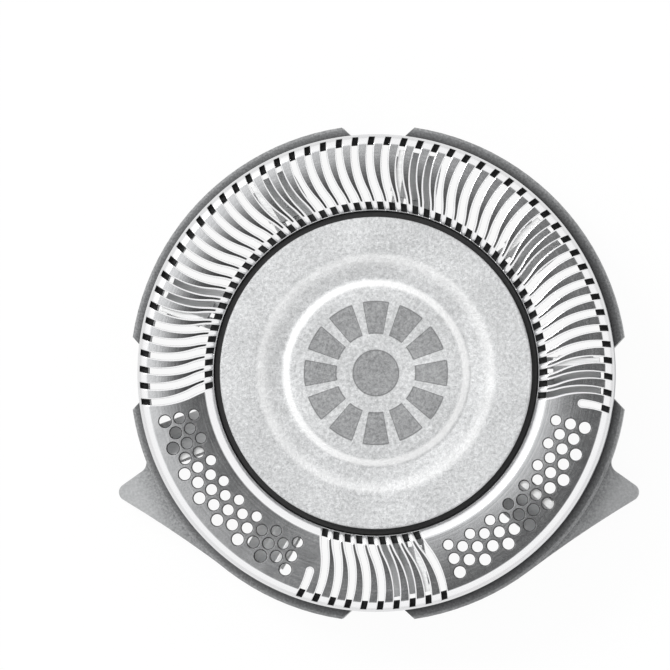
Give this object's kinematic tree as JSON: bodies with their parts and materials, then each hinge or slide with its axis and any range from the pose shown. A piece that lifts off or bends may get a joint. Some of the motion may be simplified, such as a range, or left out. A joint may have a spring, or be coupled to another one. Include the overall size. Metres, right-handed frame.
{
  "type": "rotary shaver head",
  "caption": "Round slotted steel shaving guard with a stepped centre cover and a winged collar, over a bladed rotary cutter with lifters and a drive coupling.",
  "frame": {"origin": "on the head's axis, in the plane of the collar's underside", "axes": "+Z along the axis towards the skin side; +X towards the wing on the right when the head is seen from the skin side with its wings in the lower half; +Y away from the wings"},
  "size_m": [0.0262, 0.0248, 0.006],
  "materials": {
    "guard_steel": "drawn stainless steel, track finely ground, shoulders polished",
    "cutter_steel": "hardened stainless steel, blade tips ground",
    "silver_plastic": "moulded plastic with silver coating over a fine spark-eroded texture",
    "black_plastic": "moulded black plastic, satin",
    "grey_plastic": "slightly translucent grey moulded plastic, fine grain",
    "coupling_plastic": "off-white moulded bearing plastic"
  },
  "bodies": {
    "head": {"guard": "guard_steel", "centre_hub": "black_plastic", "centre_cover": "silver_plastic", "collar": "grey_plastic"},
    "cutter_unit": {"cutter": "cutter_steel", "lifter_ring": "cutter_steel", "drive_coupling": "coupling_plastic"}
  },
  "joints": [
    {"name": "cutter_spin", "type": "hinge", "parent": "head", "child": "cutter_unit", "pos_m": [0, 0, 0.004], "axis": [0, 0, 1], "continuous": true}
  ]
}
